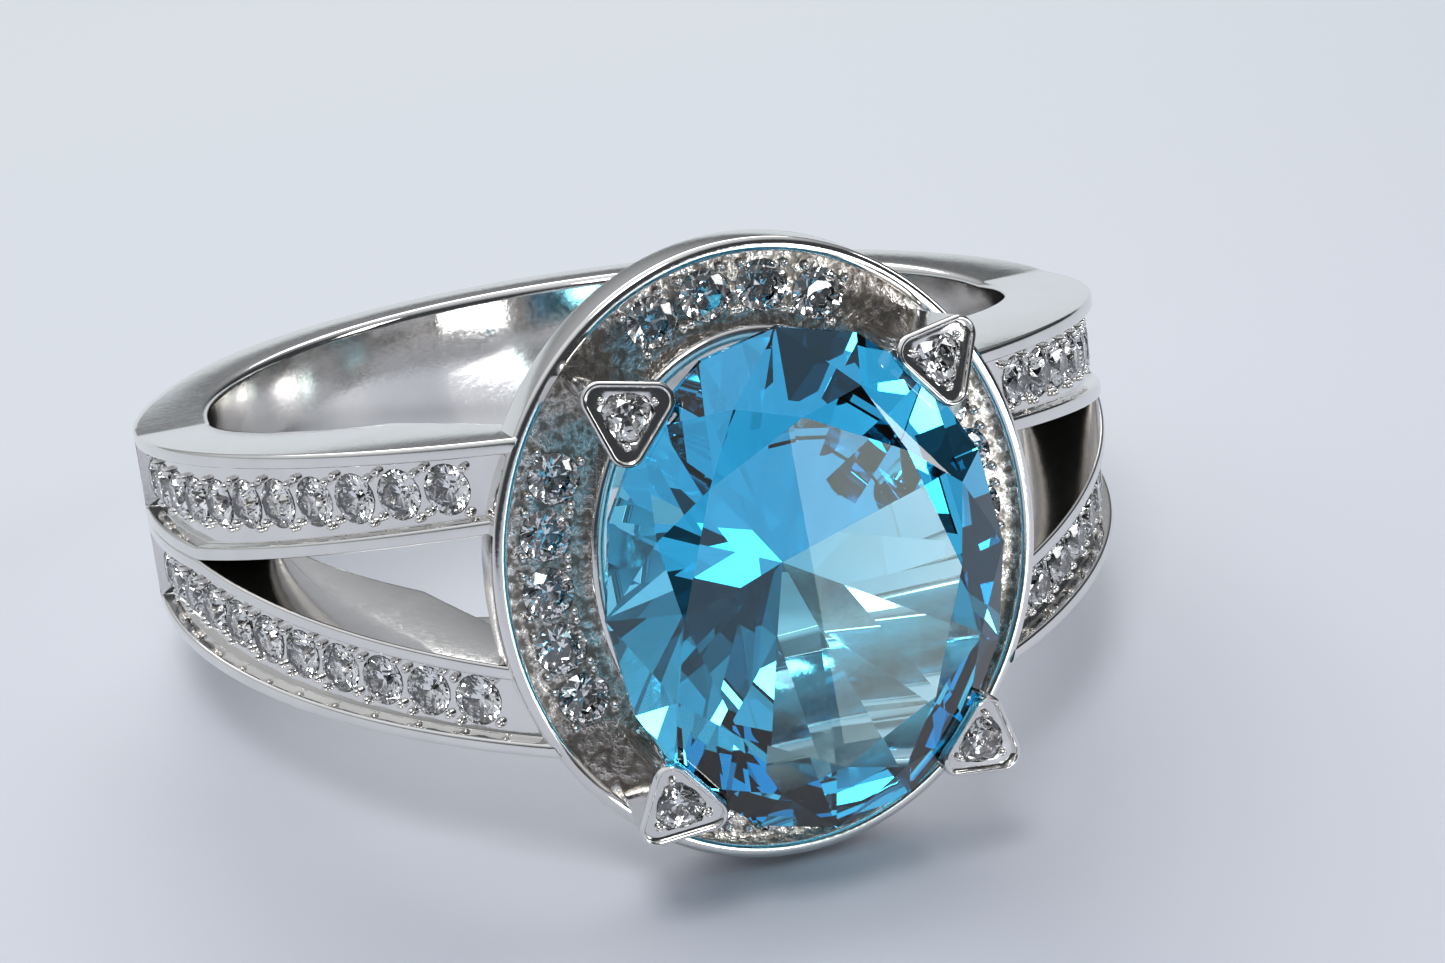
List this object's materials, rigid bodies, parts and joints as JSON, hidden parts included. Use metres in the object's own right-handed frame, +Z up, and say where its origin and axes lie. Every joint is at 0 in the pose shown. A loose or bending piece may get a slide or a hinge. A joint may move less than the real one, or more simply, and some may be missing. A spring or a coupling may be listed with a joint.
{
  "type": "cocktail ring",
  "caption": "Cocktail ring with a pale blue oval centre stone in a small-stone halo, held by stone-set prongs, on a split shank with channel-set arms.",
  "frame": {"origin": "on the surface under the ring, at the middle of its box, with the ring lying on its side as it rests", "axes": "+Z up; -Y is the way the centre stone faces, tilted a little up; X runs across the finger, from one shoulder to the other"},
  "size_m": [0.0216, 0.0266, 0.0126],
  "materials": {
    "polished_metal": "polished",
    "bed_metal": "satin",
    "small_stones": "gloss",
    "centre_stone": "gloss"
  },
  "bodies": {
    "root": {"shank_band": "polished_metal", "arm_upper_right": "polished_metal", "arm_lower_right": "polished_metal", "arm_upper_left": "polished_metal", "arm_lower_left": "polished_metal", "arm_stones_upper_right": "small_stones", "arm_stones_lower_right": "small_stones", "arm_stones_upper_left": "small_stones", "arm_stones_lower_left": "small_stones", "bridge_upper": "polished_metal", "bridge_lower": "polished_metal", "gallery_ring": "polished_metal", "halo_rim": "polished_metal", "halo_tray": "bed_metal", "halo_collar": "polished_metal", "halo_stones_right": "small_stones", "halo_stones_left": "small_stones", "halo_stones_upper": "small_stones", "halo_stones_lower": "small_stones", "prong_upper_right": "polished_metal", "prong_lower_right": "polished_metal", "prong_upper_left": "polished_metal", "prong_lower_left": "polished_metal", "prong_stone_upper_right": "small_stones", "prong_stone_lower_right": "small_stones", "prong_stone_upper_left": "small_stones", "prong_stone_lower_left": "small_stones", "centre_stone": "centre_stone"}
  },
  "joints": []
}
